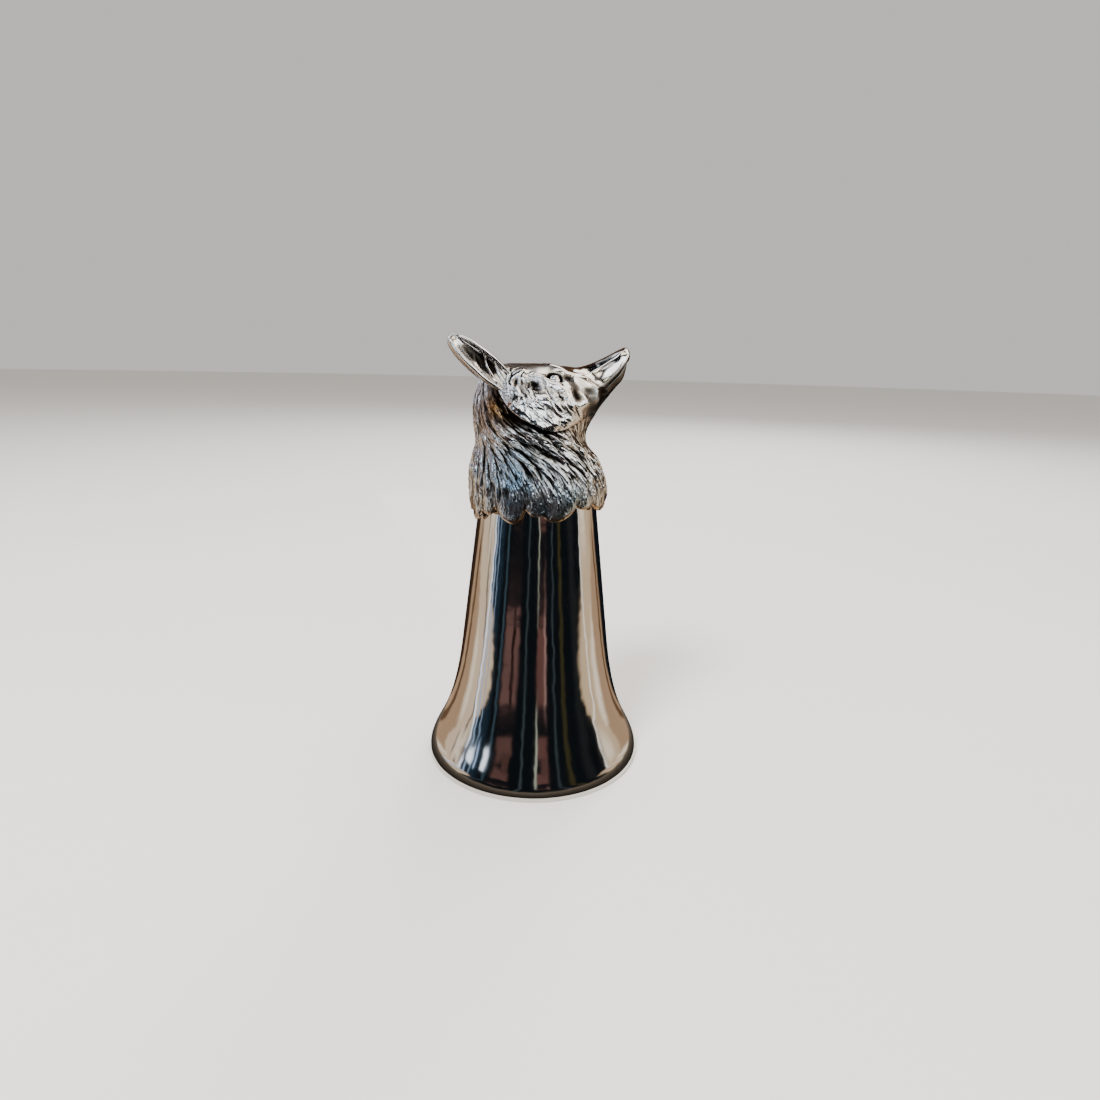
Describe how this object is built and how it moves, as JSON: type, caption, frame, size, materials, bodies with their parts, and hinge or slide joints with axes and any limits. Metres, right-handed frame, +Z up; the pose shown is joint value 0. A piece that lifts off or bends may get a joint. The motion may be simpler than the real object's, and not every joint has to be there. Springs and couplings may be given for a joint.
{
  "type": "fox head stirrup cup",
  "caption": "Pewter hunting cup: a trumpet beaker that stands on its mouth, with a cast fox head and scalloped fur collar soldered over its closed end.",
  "frame": {"origin": "centre of the mouth, in the plane that the cup stands on when it rests on its rim", "axes": "+Z up along the beaker's axis, from the mouth to the head; +X the way the fox looks; the fox's right side is at -Y"},
  "size_m": [0.0722, 0.0722, 0.1382],
  "materials": {
    "polished_pewter": "mirror polished",
    "antiqued_pewter": "cast, darkened in the hollows and polished back on the high places",
    "soft_solder": "dull, as flowed"
  },
  "bodies": {
    "root": {"beaker": "polished_pewter", "neck_solder_ring": "soft_solder", "head_right_half": "antiqued_pewter", "head_left_half": "antiqued_pewter", "ear_right": "antiqued_pewter", "ear_left": "antiqued_pewter"}
  },
  "joints": []
}
